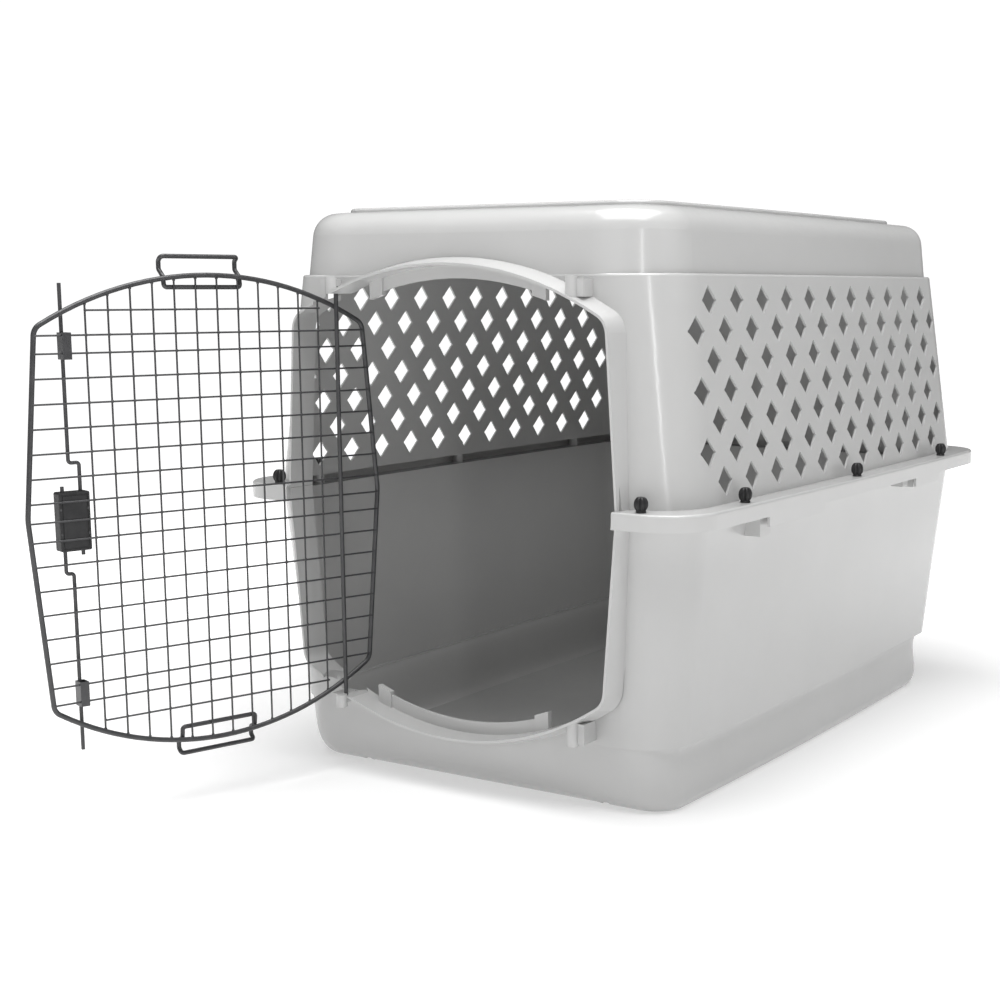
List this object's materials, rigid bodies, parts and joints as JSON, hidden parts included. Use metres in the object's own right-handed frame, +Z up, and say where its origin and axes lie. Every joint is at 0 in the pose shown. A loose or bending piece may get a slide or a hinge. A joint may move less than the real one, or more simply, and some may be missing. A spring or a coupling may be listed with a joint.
{
  "type": "pet transport carrier",
  "caption": "Two-part moulded plastic pet carrier with diamond side vents, a bolted mid flange and an open hinged wire door with spring latch rods.",
  "frame": {"origin": "on the floor, under the middle of the base's length and width", "axes": "+X to the right seen from the door end, +Y from the door end to the rear, +Z up; the door is stored open"},
  "size_m": [0.636, 1.2225, 0.661],
  "materials": {
    "shell_plastic": "satin moulded",
    "door_steel": "semi-gloss coating",
    "black_plastic": "satin",
    "zinc_steel": "zinc plated"
  },
  "bodies": {
    "shell": {"top_shell": "shell_plastic", "bottom_shell": "shell_plastic", "flange_bolts": "zinc_steel", "thumb_nuts": "black_plastic"},
    "door": {"door_frame": "door_steel", "door_vertical_wires": "door_steel", "door_horizontal_wires": "door_steel", "hinge_rod": "door_steel", "upper_door_loop": "door_steel", "lower_door_loop": "door_steel", "upper_rod_guide": "door_steel", "lower_rod_guide": "door_steel", "latch_back_cover": "black_plastic", "latch_front_cover": "black_plastic", "latch_rivets": "door_steel", "upper_latch_spring": "zinc_steel", "lower_latch_spring": "zinc_steel"},
    "upper_rod": {"upper_latch_rod": "door_steel", "upper_latch_grip": "black_plastic"},
    "lower_rod": {"lower_latch_rod": "door_steel", "lower_latch_grip": "black_plastic"}
  },
  "joints": [
    {"name": "door_swing", "type": "hinge", "parent": "shell", "child": "door", "pos_m": [-0.162, -0.42, 0.33], "axis": [0, 0, 1], "range_deg": [-25, 106.85]},
    {"name": "upper_rod_slide", "type": "slide", "parent": "door", "child": "upper_rod", "axis": [0, 0, -1], "range_m": [0, 0.02], "stiffness_N_per_m": 300, "springref_m": -0.004, "deforming": ["upper_latch_spring"]},
    {"name": "lower_rod_slide", "type": "slide", "parent": "door", "child": "lower_rod", "axis": [0, 0, 1], "range_m": [0, 0.02], "stiffness_N_per_m": 300, "springref_m": -0.004, "deforming": ["lower_latch_spring"]}
  ]
}
